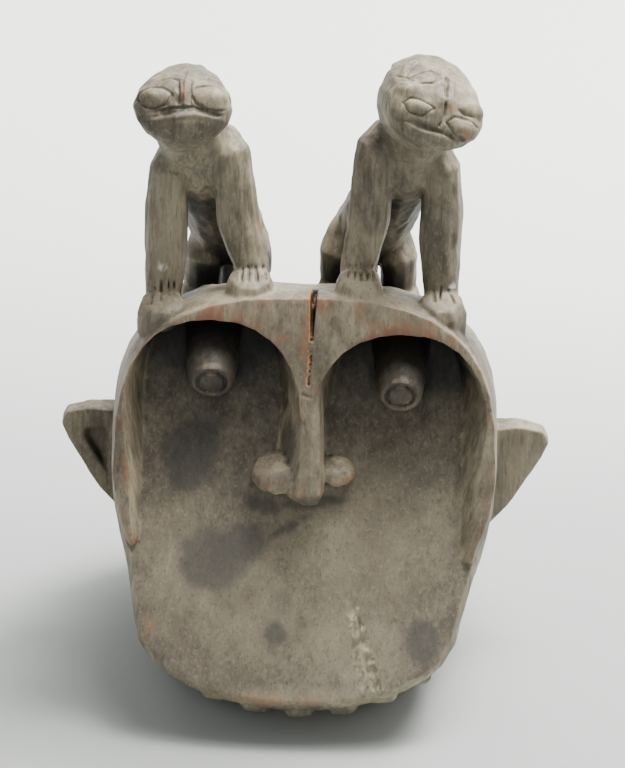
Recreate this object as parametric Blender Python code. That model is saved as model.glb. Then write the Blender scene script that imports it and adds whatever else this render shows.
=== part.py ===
"""A wooden helmet mask with two leopards on its crown, carved as one piece.

Metres, +Z up. The face looks towards -Y, and +X is on a viewer's right. The mask stands on the
rim of its opening, and the origin is under the middle of its whole box.
"""
import math

import bmesh
import bpy
import numpy as np
from mathutils import Matrix, Vector
from mathutils.bvhtree import BVHTree

for leftover in list(bpy.data.objects):
    bpy.data.objects.remove(leftover, do_unlink=True)

# The opening for the wearer's head
RIM_HALF_WIDTH = 0.105
RIM_HALF_DEPTH = 0.135
RIM_WALL = 0.018
HOLLOW_HEIGHT = 0.232
HOLLOW_HALF_WIDTH = 0.108
FACE_WALL = 0.028

# The head outside
HEAD_HALF_WIDTH = 0.145
HEAD_BACK = 0.131
HEAD_FRONT = 0.195
WIDEST_LEVEL = 0.58
CAP_POWER = 3.0
CREST_HEIGHT = 0.329
CREST_PLACE = 0.084
CREST_ROLL = 0.015
BACK_SLOPE = 0.52

# The flat face, which leans back from the lip
LIP_REACH = 0.215
LIP_HEIGHT = 0.038
FACE_LEAN = math.radians(33.0)
PLATE_TOP_HALF_WIDTH = 0.129
PLATE_LOW_LEFT = 0.120
PLATE_LOW_RIGHT = 0.114
PLATE_STRAIGHT = 0.056
PLATE_ROUND = 0.058
PLATE_ROOT = 0.090
LIP_THICK = 0.010
LIP_FLARE = 0.004
WALL_END_HEIGHT = 0.139

# The brows, which stand out over the face
BROW_REACH = 0.120
BROW_TOP = 0.315
BROW_LEAN = 0.27
BROW_CURVE = 0.009
ARCH_MIDDLE = 0.070
ARCH_HALF_WIDTH = 0.066
ARCH_SPRING = 0.238
ARCH_RISE = 0.070
ARCH_POWER = 2.25
WALL_END_HALF_WIDTH = 0.127
DEEP_SIDE_LEFT = 0.122
DEEP_SIDE_RIGHT = 0.118
DEEP_RISE = 0.062
SEPTUM_HALF_WIDTH = 0.020
SIDE_DROP = 0.008

# The eyes
EYE_APART = 0.0705
EYE_HEIGHT = 0.259
EYE_REACH = 0.125
EYE_DROOP = math.radians(20.0)
EYE_LENGTH = 0.085
EYE_RADIUS = 0.0165
EYE_SPREAD = 0.0045
EYE_GROOVE = 0.003

# The nose
NOSE_ROOT_HEIGHT = 0.262
NOSE_TIP_HEIGHT = 0.182
NOSE_TIP_REACH = 0.165
NOSE_RIDGE_HALF_WIDTH = 0.0085
NOSE_FOOT_LEFT = 0.028
NOSE_FOOT_RIGHT = 0.011
NOSE_PLACE = 0.004
NOSE_SINK = 0.012
NOSE_ROOT_SET = 0.004
NOSE_ROUND = 0.003
WING_RADIUS = 0.017

# The teeth
TOOTH_COUNT = 7
TOOTH_PITCH = 0.0265
TOOTH_HALF_WIDTH = 0.0122
TOOTH_HALF_HEIGHT = 0.009
TOOTH_HALF_DEPTH = 0.011
TOOTH_SET = 0.007
MOUTH_DROP = 0.027
MOUTH_HALF_WIDTH = 0.080
MOUTH_HALF_DEPTH = 0.034
MOUTH_HALF_HEIGHT = 0.012

# The ears
EAR_TOP = 0.190
EAR_FOOT = 0.100
EAR_REACH = 0.186
EAR_BACK = 0.010
EAR_THICK = 0.026
EAR_TIP_THICK = 0.014
EAR_HOLLOW = 0.009
EAR_ROOT = 0.014

# The drying crack in the forehead
CRACK_WIDTH = 0.0065
CRACK_DEPTH = 0.026
CRACK_PLACE = 0.002
CRACK_FOOT = 0.256

# The two leopards. Their proportions, from LEG_RADIUS to NECK_RADIUS and in their poses, are
# shares of LEOPARD_HEIGHT. A pose has for each foreleg the places of its foot and shoulder across
# and the shoulder's height, then the hind feet's places, the chest's height, the head's place and
# height, and how the head is lifted, tilted and turned.
LEOPARD_HEIGHT = 0.186
LEOPARD_PLACE = 0.072
FORE_PLACE = 0.083
HIND_PLACE = -0.036
TAIL_PLACE = -0.098
LEG_RADIUS = 0.083
PAW_LENGTH = 0.194
PAW_HALF_WIDTH = 0.094
PAW_HEIGHT = 0.081
PAW_SINK = 0.032
TAIL_RADIUS = 0.043
NECK_RADIUS = 0.140
TOE_COUNT = 4
LEFT_LEOPARD = {
    "side": -1,
    "outer": (0.194, 0.178, 0.420),
    "inner": (-0.158, -0.062, 0.505),
    "haunches": (-0.151, 0.043),
    "chest": 0.475,
    "head": (0.118, 0.723),
    "head_size": 1.0,
    "skull_share": 0.66,
    "mouth": -0.068,
    "head_turn": (math.radians(-38), math.radians(0), math.radians(-2)),
}
RIGHT_LEOPARD = {
    "side": 1,
    "outer": (0.148, 0.132, 0.480),
    "inner": (-0.188, -0.124, 0.575),
    "haunches": (-0.263, -0.022),
    "chest": 0.520,
    "head": (0.048, 0.801),
    "head_size": 1.07,
    "skull_share": 0.93,
    "mouth": -0.106,
    "head_turn": (math.radians(-24), math.radians(25), math.radians(22)),
}

# How finely the shapes are made
HEAD_SIDES = 48
LIMB_SIDES = 10
ARCH_STEPS = 14
MERGE = 0.00002
FLAT_ANGLES = (0.02, 0.015, 0.01, 0.007, 0.004, 0.002, 0.001)

FLOOR_CUT = 0.010
REACH_OUT = 0.060


def mesh_object(name, points, faces):
    """A closed mesh object whose faces point outwards."""
    shape = bmesh.new()
    vertices = [shape.verts.new(tuple(point)) for point in points]
    for face in faces:
        shape.faces.new([vertices[index] for index in face])
    bmesh.ops.remove_doubles(shape, verts=shape.verts, dist=MERGE)
    bmesh.ops.triangulate(shape, faces=shape.faces)
    bmesh.ops.recalc_face_normals(shape, faces=shape.faces)
    mesh = bpy.data.meshes.new(name)
    shape.to_mesh(mesh)
    shape.free()
    thing = bpy.data.objects.new(name, mesh)
    bpy.context.scene.collection.objects.link(thing)
    return thing


def loft(name, rings):
    """A closed skin through rings of equal count; a ring of one point is a pole."""
    points = []
    starts = []
    for ring in rings:
        starts.append(len(points))
        points.extend(ring)
    faces = []
    for index in range(len(rings) - 1):
        low, high = rings[index], rings[index + 1]
        first, second = starts[index], starts[index + 1]
        count = max(len(low), len(high))
        for step in range(count):
            following = (step + 1) % count
            if len(low) == 1:
                faces.append([first, second + following, second + step])
            elif len(high) == 1:
                faces.append([first + step, first + following, second])
            else:
                faces.append([first + step, first + following, second + following, second + step])
    if len(rings[0]) > 1:
        faces.append([starts[0] + step for step in range(len(rings[0]))])
    if len(rings[-1]) > 1:
        faces.append([starts[-1] + step for step in range(len(rings[-1]))])
    return mesh_object(name, points, faces)


def measure(mesh):
    """The volume inside a mesh, and how many of its edges don't have two faces."""
    shape = bmesh.new()
    shape.from_mesh(mesh)
    volume = shape.calc_volume()
    flaws = sum(len(edge.link_faces) != 2 for edge in shape.edges)
    shape.free()
    return volume, flaws


def combine(body, other, operation):
    """Join or cut the body with another closed shape, which is then removed.

    A result that is open or has a wrong volume is made again with the other solver.
    """
    before, extra = measure(body.data)[0], measure(other.data)[0]
    step = body.modifiers.new(operation.lower(), "BOOLEAN")
    step.operation = operation
    step.object = other
    for solver in ("EXACT", "MANIFOLD"):
        step.solver = solver
        bpy.context.view_layer.update()
        finished = bpy.data.meshes.new_from_object(
            body.evaluated_get(bpy.context.evaluated_depsgraph_get()))
        volume, flaws = measure(finished)
        if operation == "UNION":
            whole = max(before, extra) < volume < (before + extra) * (1 + MERGE)
        else:
            whole = (before - extra) * (1 - MERGE) < volume < before
        if whole and not flaws:
            break
    body.modifiers.clear()
    body.data = finished
    bpy.data.objects.remove(other, do_unlink=True)


def join(body, other):
    combine(body, other, "UNION")


def cut(body, other):
    combine(body, other, "DIFFERENCE")


def ease(share):
    """Zero to one with a soft start and a soft end."""
    share = min(1.0, max(0.0, share))
    return share * share * (3.0 - 2.0 * share)


def smooth_path(points, steps):
    """Points along a smooth curve through the given points."""
    points = [np.array(point, float) for point in points]
    ends = [2 * points[0] - points[1]] + points + [2 * points[-1] - points[-2]]
    path = []
    for index in range(len(points) - 1):
        before, start, finish, after = ends[index:index + 4]
        for step in range(steps):
            t = step / steps
            path.append(0.5 * (2 * start + (finish - before) * t
                               + (2 * before - 5 * start + 4 * finish - after) * t * t
                               + (3 * start - before - 3 * finish + after) * t ** 3))
    path.append(points[-1])
    return path


def plan_ring(half_width, front, back, front_power, back_power, count=HEAD_SIDES):
    """A plan outline: x to the right and forward towards the viewer, by even turns."""
    ring = []
    for step in range(count):
        turn = 2 * math.pi * step / count
        across, ahead = math.cos(turn), math.sin(turn)
        depth, power = (front, front_power) if ahead >= 0 else (back, back_power)
        radius = (abs(across / half_width) ** power + abs(ahead / depth) ** power) ** (-1 / power)
        ring.append((radius * across, radius * ahead))
    return ring


def crown_height(forward):
    """Height of the crown on the middle line, which falls away behind the crest."""
    fall = CREST_ROLL * math.log1p(math.exp((CREST_PLACE - forward) / CREST_ROLL))
    return CREST_HEIGHT - BACK_SLOPE * fall


def face_forward(height):
    """How far forward the flat face lies at a height."""
    return LIP_REACH - math.tan(FACE_LEAN) * (height - LIP_HEIGHT)


def brow_forward(x, height):
    """How far forward the brows' front lies."""
    return BROW_REACH + BROW_LEAN * (BROW_TOP - height) - BROW_CURVE * (x / HEAD_HALF_WIDTH) ** 2


def point(x, forward, height):
    return (x, -forward, height)


def skull():
    """The helmet's outer form, before the face is carved into it."""
    rings = []
    wall_steps, cap_steps, full_front = 7, 10, 0.35
    for step in range(-1, wall_steps):
        level = max(0, step) / wall_steps * WIDEST_LEVEL
        swell = math.sin(math.pi / 2 * (level / WIDEST_LEVEL) ** 0.9)
        half_width = RIM_HALF_WIDTH + (HEAD_HALF_WIDTH - RIM_HALF_WIDTH) * swell
        squarer = ease(level / full_front)
        front = RIM_HALF_DEPTH + (HEAD_FRONT - RIM_HALF_DEPTH) * squarer
        back = RIM_HALF_DEPTH + (HEAD_BACK - RIM_HALF_DEPTH) * squarer
        front_power = 2 + 2.4 * squarer + 3.6 * ease((level - full_front) / 0.25)
        plan = plan_ring(half_width, front, back, front_power, 2 + 0.5 * squarer)
        drop = FLOOR_CUT if step < 0 else 0.0
        rings.append([point(x, y, level * crown_height(y) - drop) for x, y in plan])
    for step in range(cap_steps):
        turn = math.pi / 2 * step / cap_steps
        rise = math.sin(turn) ** (2 / CAP_POWER)
        level = WIDEST_LEVEL + (1 - WIDEST_LEVEL) * rise
        plan = plan_ring(HEAD_HALF_WIDTH * math.cos(turn) ** (2 / CAP_POWER),
                         HEAD_FRONT * math.cos(turn) ** (2 / 6),
                         HEAD_BACK * math.cos(turn) ** (2 / 3), 8 - 5 * rise, 2.5)
        rings.append([point(x, y, level * crown_height(y)) for x, y in plan])
    rings.append([point(0, 0, crown_height(0))])
    return loft("helmet_mask", rings)


def on_face(x, along, lift=0.0):
    """A point on the flat face: along runs up the face from the lip, lift stands off it."""
    forward = LIP_REACH - along * math.sin(FACE_LEAN) + lift * math.cos(FACE_LEAN)
    height = LIP_HEIGHT + along * math.cos(FACE_LEAN) + lift * math.sin(FACE_LEAN)
    return point(x, forward, height)


def plate_side(low_half_width, grow):
    """Half of the flat face's edge, from the end of the wall down to the middle of the lip."""
    edge = []
    for step in range(12):
        share = step / 12
        width = PLATE_TOP_HALF_WIDTH + (low_half_width - PLATE_TOP_HALF_WIDTH) * share
        edge.append((width + grow, PLATE_ROUND + PLATE_STRAIGHT * (1 - share)))
    for step in range(49):
        turn = math.pi / 2 * step / 48
        edge.append(((low_half_width + grow) * math.cos(turn) ** (2 / 1.95),
                     PLATE_ROUND - (PLATE_ROUND + grow) * math.sin(turn) ** (2 / 1.95)))
    return edge


def plate_outline(grow, count=HEAD_SIDES):
    """The outline of the flat face as (x, along), starting at the right and going by the lip."""
    left = [(-x, along) for x, along in plate_side(PLATE_LOW_LEFT, grow)]
    lower = plate_side(PLATE_LOW_RIGHT, grow) + left[-2::-1]
    upper = []
    for step in range(1, 40):
        turn = math.pi * step / 40
        upper.append((-PLATE_TOP_HALF_WIDTH * math.cos(turn),
                      PLATE_STRAIGHT + PLATE_ROUND + PLATE_ROOT * math.sin(turn)))
    return evenly(lower, count // 2 + 1) + evenly([lower[-1]] + upper + [lower[0]],
                                                  count // 2 + 1)[1:-1]


def evenly(line, count):
    """The line again, with points at even distances."""
    line = np.array(line)
    walked = np.concatenate([[0], np.cumsum(np.linalg.norm(np.diff(line, axis=0), axis=1))])
    places = np.linspace(0, walked[-1], count)
    return [tuple(np.interp(place, walked, line[:, axis]) for axis in range(line.shape[1]))
            for place in places]


def jaw():
    """The part that carries the flat face out from the rim to the lip."""
    rim = plan_ring(RIM_HALF_WIDTH * 0.99, RIM_HALF_DEPTH, RIM_HALF_DEPTH * 0.78, 2, 2)
    foot = [point(x, y, -FLOOR_CUT / 2) for x, y in rim]
    sole = [point(x, y, 0.0) for x, y in rim]
    lip = [on_face(x, along, -LIP_THICK) for x, along in plate_outline(LIP_FLARE)]
    edge = [on_face(x, along) for x, along in plate_outline(0)]
    beyond = [tuple(np.array(e) + 1.5 * (np.array(e) - np.array(l))) for e, l in zip(edge, lip)]
    middle = []
    for low, high in zip(sole, lip):
        middle.append((0.48 * low[0] + 0.52 * high[0] + 0.03 * (low[0] + high[0]) / 2,
                       0.44 * low[1] + 0.56 * high[1],
                       0.58 * low[2] + 0.42 * high[2]))
    return loft("jaw", [foot, sole, middle, lip, edge, beyond])


def arch(middle, half_width, spring, rise):
    """An arch from its left foot over its top to its right foot, as (x, height)."""
    line = []
    for step in range(ARCH_STEPS + 1):
        turn = math.pi * (1 - step / ARCH_STEPS)
        across = math.copysign(abs(math.cos(turn)) ** (2 / ARCH_POWER), math.cos(turn))
        up = abs(math.sin(turn)) ** (2 / ARCH_POWER)
        line.append((middle + half_width * across, spring + rise * up))
    return line


def recess_outline(left_side, right_side, inner, wall_end, rise):
    """The line around the sunk face: up the left wall, over both brows, down the right one."""
    left_end, right_end = WALL_END_HEIGHT, WALL_END_HEIGHT - SIDE_DROP
    sides = []
    for side, reach in ((-1, left_side), (1, right_side)):
        drop = SIDE_DROP if side > 0 else 0.0
        middle = side * (reach + inner) / 2
        sides.append(arch(middle, (reach - inner) / 2, ARCH_SPRING - drop, rise))
    return ([(-wall_end[0], left_end)] + sides[0] + sides[1] + [(wall_end[1], right_end)])


def face_cutter():
    """All that is carved away in front of the flat face and between the brows' walls."""
    side = ARCH_MIDDLE + ARCH_HALF_WIDTH
    cusp = ARCH_MIDDLE - ARCH_HALF_WIDTH
    deep = recess_outline(DEEP_SIDE_LEFT, DEEP_SIDE_RIGHT, SEPTUM_HALF_WIDTH,
                          (DEEP_SIDE_LEFT, DEEP_SIDE_RIGHT), DEEP_RISE)
    open_line = recess_outline(side, side, cusp,
                               (WALL_END_HALF_WIDTH, WALL_END_HALF_WIDTH), ARCH_RISE)
    wide, low = 2 * HEAD_HALF_WIDTH, -1.3 * LIP_HEIGHT
    corners_left = [(-wide, low), (-wide, WALL_END_HEIGHT)]
    corners_right = [(wide, WALL_END_HEIGHT - SIDE_DROP), (wide, low)]
    deep_ring = []
    for x, z in corners_left + deep + corners_right:
        deep_ring.append(np.array(point(x, face_forward(z), z)))
    rim_ring = []
    for x, z in corners_left + open_line + corners_right:
        outside = abs(x) > HEAD_HALF_WIDTH
        forward = face_forward(z) + LIP_HEIGHT / 2 if outside else brow_forward(x, z)
        rim_ring.append(np.array(point(x, forward, z)))
    out_ring = []
    for low_point, high_point in zip(deep_ring, rim_ring):
        ray = high_point - low_point
        out_ring.append(high_point + ray / np.linalg.norm(ray) * REACH_OUT)
    return loft("face cutter", [deep_ring, rim_ring, out_ring])


def front_cutter():
    """The wood in front of the brows: a slab whose back follows the brows' front."""
    back, front = [], []
    width, low, high = 1.3 * HEAD_HALF_WIDTH, WALL_END_HEIGHT * 0.64, CREST_HEIGHT * 1.09
    steps = 12
    for step in range(steps + 1):
        x = width * (2 * step / steps - 1)
        back.append([point(x, brow_forward(x, z), z) for z in (low, high)])
        front.append([point(x, brow_forward(x, z) + HEAD_FRONT, z) for z in (low, high)])
    rings = []
    for near, far in zip(back, front):
        rings.append([near[0], near[1], far[1], far[0]])
    return loft("front cutter", rings)


def floor_cutter():
    """The floor, which cuts the rim flat."""
    reach = 2 * HEAD_FRONT
    plan = [(-reach, -reach), (reach, -reach), (reach, reach), (-reach, reach)]
    return loft("floor cutter", [[(x, y, height) for x, y in plan] for height in (-reach, 0.0)])


def hollow():
    """The room for the wearer's head, open at the rim."""
    half_width, depth = RIM_HALF_WIDTH - RIM_WALL, RIM_HALF_DEPTH - RIM_WALL
    rings = []
    for share in (-0.12, 0.0, 0.2, 0.42, 0.6, 0.76, 0.88, 0.96):
        height = share * HOLLOW_HEIGHT
        swell = math.sin(math.pi / 2 * min(1, max(0, share) / 0.55))
        narrow = math.sqrt(max(0.0, 1 - (max(0, share - 0.45) / 0.55) ** 2.4))
        wide = (half_width + (HOLLOW_HALF_WIDTH - half_width) * swell) * narrow
        back = (depth - RIM_WALL / 3 * swell) * narrow
        front = min(depth, face_forward(height) - FACE_WALL / math.cos(FACE_LEAN))
        front = min(front, depth * narrow)
        rings.append([point(x, y, height)
                      for x, y in plan_ring(wide, front, back, 2.2, 2.2, HEAD_SIDES // 2)])
    rings.append([point(0, -RIM_WALL / 2, HOLLOW_HEIGHT)])
    return loft("hollow", rings)


def turned(name, profile, start, axis, sides):
    """A turned shape: profile holds (along, radius) from its base to its end."""
    axis = Vector(axis).normalized()
    across = axis.cross(Vector((0, 0, 1))).normalized()
    over = across.cross(axis)
    rings = []
    for along, radius in profile:
        middle = Vector(start) + axis * along
        if radius == 0:
            rings.append([tuple(middle)])
            continue
        ring = []
        for step in range(sides):
            turn = 2 * math.pi * step / sides
            ring.append(tuple(middle + radius * (math.cos(turn) * across + math.sin(turn) * over)))
        rings.append(ring)
    return loft(name, rings)


def eye(side):
    """A tube that stands out of the deep of the recess, with a ringed pupil in its end."""
    drop = SIDE_DROP if side > 0 else 0.0
    axis = (0, -math.cos(EYE_DROOP), -math.sin(EYE_DROOP))
    end = Vector(point(side * EYE_APART, EYE_REACH, EYE_HEIGHT - drop))
    start = end - EYE_LENGTH * Vector(axis)
    radius, groove = EYE_RADIUS, EYE_GROOVE
    profile = [(0, radius + EYE_SPREAD), (EYE_LENGTH * 0.45, radius + EYE_SPREAD),
               (EYE_LENGTH * 0.8, radius + EYE_SPREAD * 0.5), (EYE_LENGTH - groove, radius),
               (EYE_LENGTH, radius * 0.9), (EYE_LENGTH, radius * 0.74),
               (EYE_LENGTH - groove, radius * 0.68), (EYE_LENGTH - groove, radius * 0.6),
               (EYE_LENGTH, radius * 0.5), (EYE_LENGTH + groove * 0.4, 0)]
    return turned("eye", profile, start, axis, 16)


def nose():
    """A ridge from the root between the brows down to the tip, standing on the face."""
    rings = []
    length = NOSE_ROOT_HEIGHT - NOSE_TIP_HEIGHT
    root_reach = brow_forward(0, NOSE_ROOT_HEIGHT) - NOSE_ROOT_SET
    for share, puff in ((0.0, 0.9), (0.3, 1.0), (0.6, 1.1), (0.85, 1.25), (1.0, 1.2), (1.09, 0.9)):
        height = NOSE_ROOT_HEIGHT - share * length
        reach = root_reach + (NOSE_TIP_REACH - root_reach) * min(1.0, share)
        reach -= 0.9 * max(0.0, share - 1.0) * length
        foot = face_forward(height) - NOSE_SINK
        middle = NOSE_PLACE
        ridge = NOSE_RIDGE_HALF_WIDTH * puff
        spread = 0.72 + 0.28 * min(1.0, share)
        left, right = middle - NOSE_FOOT_LEFT * spread, middle + NOSE_FOOT_RIGHT * spread
        rings.append([point(left, foot, height),
                      point(left * 0.35 + (middle - ridge) * 0.65, foot * 0.3 + reach * 0.7, height),
                      point(middle - ridge * 0.8, reach - NOSE_ROUND, height),
                      point(middle, reach, height),
                      point(middle + ridge * 0.8, reach - NOSE_ROUND, height),
                      point(middle + ridge * 1.1, foot * 0.3 + reach * 0.7, height),
                      point(right, foot, height)])
    return loft("nose", rings)


def pebble(name, middle, radii, turn=(0, 0, 0), rings=6, sides=12):
    """An egg shape with its own radii, turned about its middle."""
    spin = (Matrix.Rotation(turn[2], 3, "Z") @ Matrix.Rotation(turn[1], 3, "Y")
            @ Matrix.Rotation(turn[0], 3, "X"))
    rows = [[tuple(Vector(middle) + spin @ Vector((0, 0, -radii[2])))]]
    for row in range(1, rings):
        tilt = math.pi * row / rings
        ring = []
        for step in range(sides):
            around = 2 * math.pi * step / sides
            local = Vector((radii[0] * math.sin(tilt) * math.cos(around),
                            radii[1] * math.sin(tilt) * math.sin(around),
                            -radii[2] * math.cos(tilt)))
            ring.append(tuple(Vector(middle) + spin @ local))
        rows.append(ring)
    rows.append([tuple(Vector(middle) + spin @ Vector((0, 0, radii[2])))])
    return loft(name, rows)


def nostril_wing(side):
    """One rounded wing at the side of the nose's tip."""
    size = WING_RADIUS if side < 0 else WING_RADIUS * 0.74
    height = NOSE_TIP_HEIGHT + WING_RADIUS / 2
    reach = face_forward(height) + size * 1.05
    middle = point(NOSE_PLACE + side * (NOSE_RIDGE_HALF_WIDTH + size * 0.9), reach, height)
    return pebble("wing", middle, (size * 1.2, size * 1.25, size * 0.68), (0.35, 0, side * 0.25))


def tooth(index):
    """One tooth under the lip, square to the lip's curve."""
    along = (index - (TOOTH_COUNT - 1) / 2) * TOOTH_PITCH
    turn = math.pi / 2 * along / (PLATE_LOW_LEFT * 1.25)
    x = (PLATE_LOW_LEFT + PLATE_LOW_RIGHT) / 2 * math.sin(turn)
    back = PLATE_ROUND * (math.sin(FACE_LEAN) + 0.78) * (1 - math.cos(turn))
    rise = PLATE_ROUND * math.cos(FACE_LEAN) * (1 - math.cos(turn))
    middle = Vector(point(x, LIP_REACH - LIP_THICK - TOOTH_SET - back,
                          LIP_HEIGHT - TOOTH_SET + rise))
    size = (TOOTH_HALF_WIDTH, TOOTH_HALF_DEPTH, TOOTH_HALF_HEIGHT)
    spin = Matrix.Rotation(turn * 0.35, 3, "Z")
    rings = []
    for level, shrink in ((-1, 0.72), (-0.55, 0.95), (1, 1.0)):
        ring = []
        for step in range(12):
            around = 2 * math.pi * (step + 0.5) / 12
            local = Vector((math.copysign(abs(math.cos(around)) ** 0.5, math.cos(around)) * size[0],
                            math.copysign(abs(math.sin(around)) ** 0.5, math.sin(around)) * size[1],
                            0)) * shrink
            ring.append(tuple(middle + spin @ local + Vector((0, 0, level * size[2]))))
        rings.append(ring)
    return loft("tooth", rings)


def mouth_cutter():
    """The open mouth under the teeth."""
    middle = point(0, LIP_REACH - LIP_THICK - MOUTH_HALF_DEPTH, LIP_HEIGHT - MOUTH_DROP)
    return pebble("mouth", middle, (MOUTH_HALF_WIDTH, MOUTH_HALF_DEPTH, MOUTH_HALF_HEIGHT),
                  (math.radians(-16), 0, 0), 6, 18)


def ear(side):
    """A three-cornered ear: its top edge level, its lower edge slanting in to the head."""
    drop = SIDE_DROP if side > 0 else 0.0
    root = HEAD_HALF_WIDTH - EAR_ROOT
    reach, tall = EAR_REACH - HEAD_HALF_WIDTH, EAR_TOP - EAR_FOOT
    outline = [(root, EAR_TOP), (EAR_REACH - 0.54 * reach, EAR_TOP + 0.02 * tall),
               (EAR_REACH - 0.1 * reach, EAR_TOP - 0.03 * tall),
               (EAR_REACH, EAR_TOP - 0.13 * tall), (EAR_REACH - 0.12 * reach, EAR_TOP - 0.27 * tall),
               (HEAD_HALF_WIDTH + 0.29 * reach, EAR_FOOT + 0.29 * tall),
               (root - 0.1 * reach, EAR_FOOT - 0.07 * tall)]
    near, far = [], []
    for x, z in outline:
        out = (x - root) / (EAR_REACH - root)
        half = (EAR_THICK + (EAR_TIP_THICK - EAR_THICK) * out) / 2
        middle = EAR_BACK + EAR_THICK / 2
        near.append(point(side * x, middle + half, z - drop))
        far.append(point(side * x, middle - half, z - drop))
    return loft("ear", [far, near])


def ear_hollow(side):
    """The three-cornered hollow in an ear: in front on the left one, behind on the right one."""
    drop = SIDE_DROP if side > 0 else 0.0
    root = HEAD_HALF_WIDTH + 0.05 * (EAR_REACH - HEAD_HALF_WIDTH)
    reach, tall = EAR_REACH - HEAD_HALF_WIDTH, EAR_TOP - EAR_FOOT
    outline = [(root, EAR_TOP - 0.12 * tall), (EAR_REACH - 0.37 * reach, EAR_TOP - 0.11 * tall),
               (EAR_REACH - 0.34 * reach, EAR_TOP - 0.24 * tall), (root, EAR_FOOT + 0.33 * tall)]
    middle_x = sum(x for x, z in outline) / len(outline)
    middle_z = sum(z for x, z in outline) / len(outline)
    facing = -side
    surface = EAR_BACK + EAR_THICK / 2 + facing * EAR_THICK / 2
    rings = []
    for lift, scale in ((-EAR_HOLLOW, 0.45), (0.0, 1.0), (EAR_HOLLOW, 1.2)):
        rings.append([point(side * (middle_x + (x - middle_x) * scale), surface + facing * lift,
                            middle_z + (z - middle_z) * scale - drop) for x, z in outline])
    return loft("ear hollow", rings)


def crack_cutter():
    """A wedge from the crown down to the nose's root, wide at the top and closing below."""
    start = CREST_PLACE - CRACK_DEPTH * 0.85
    upper, middle = BROW_TOP - CRACK_DEPTH * 0.46, (BROW_TOP + CRACK_FOOT) / 2
    line = [(start, crown_height(start)), (CREST_PLACE * 1.07, crown_height(CREST_PLACE * 1.07)),
            (brow_forward(0, BROW_TOP) - CRACK_DEPTH * 0.46, BROW_TOP + CRACK_DEPTH * 0.2),
            (brow_forward(0, upper), upper), (brow_forward(0, middle), middle),
            (brow_forward(0, CRACK_FOOT), CRACK_FOOT)]
    rings = []
    for index, (forward, height) in enumerate(line):
        before, after = line[max(0, index - 1)], line[min(len(line) - 1, index + 1)]
        run, rise = after[0] - before[0], after[1] - before[1]
        size = math.hypot(run, rise)
        out = (-rise / size, run / size)
        share = index / (len(line) - 1)
        half = CRACK_WIDTH / 2 * (1 - 0.8 * share)
        middle = CRACK_PLACE * (3 - 2 * share)
        depth = CRACK_DEPTH * (1 - 0.55 * share) * (0.5 if index == 0 else 1.0)
        ring = []
        for lift, width in ((-depth, half * 0.3), (CRACK_DEPTH / 2, half * 1.3)):
            ring.append((middle - width, lift))
            ring.append((middle + width, lift))
        order = (0, 1, 3, 2)
        rings.append([point(ring[k][0], forward + out[0] * ring[k][1], height + out[1] * ring[k][1])
                      for k in order])
    return loft("crack", rings)


def limb(name, places, radii, sides=LIMB_SIDES, steps=2):
    """A round limb with round ends along a smooth path, with one radius for each place."""
    path = smooth_path([np.append(np.array(place, float), radius)
                        for place, radius in zip(places, radii)], steps)
    rings = []
    for index, station in enumerate(path):
        before, after = path[max(0, index - 1)], path[min(len(path) - 1, index + 1)]
        along = Vector(after[:3] - before[:3]).normalized()
        across = Vector((1, 0, 0)) - along * along.x
        across.normalize()
        over = along.cross(across)
        middle, radius = Vector(station[:3]), float(station[3])
        compass = []
        for step in range(sides):
            turn = 2 * math.pi * step / sides
            compass.append(math.cos(turn) * across + math.sin(turn) * over)
        ring = [tuple(middle + radius * offset) for offset in compass]
        if index == 0:
            rings.append([tuple(middle - along * radius * 0.9)])
            rings.append([tuple(middle - along * radius * 0.6 + radius * 0.7 * offset)
                          for offset in compass])
        rings.append(ring)
        if index == len(path) - 1:
            rings.append([tuple(middle + along * radius * 0.6 + radius * 0.7 * offset)
                          for offset in compass])
            rings.append([tuple(middle + along * radius * 0.9)])
    return loft(name, rings)


def paw(place, heading, sides, ground):
    """A flat paw with rounded toes in front; its sole follows the wood that it stands on."""
    size = LEOPARD_HEIGHT
    spin = Matrix.Rotation(heading, 3, "Z")
    rings = []
    for level, shrink in ((-1.0, 1.0), (0.35, 1.0), (0.8, 0.86), (1.0, 0.6)):
        ring = []
        for step in range(sides):
            turn = 2 * math.pi * step / sides
            toes = 0.0
            if math.sin(turn) > 0.05:
                toes = 0.10 * abs(math.sin(TOE_COUNT * turn))
            across = PAW_HALF_WIDTH * math.cos(turn) * (1 + toes)
            ahead = PAW_LENGTH / 2 * math.sin(turn) * (1 + toes)
            slope = -0.25 * max(0.0, ahead) if level > 0 else 0.0
            local = Vector((across * shrink, -ahead * shrink - 0.02, level * PAW_HEIGHT + slope))
            spot = Vector(place) + spin @ (local * size)
            if level < 0:
                spot.z = max(spot.z, ground(spot.x, -spot.y) - PAW_SINK * size / 2)
            ring.append(tuple(spot))
        rings.append(ring)
    return loft("paw", rings)


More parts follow.
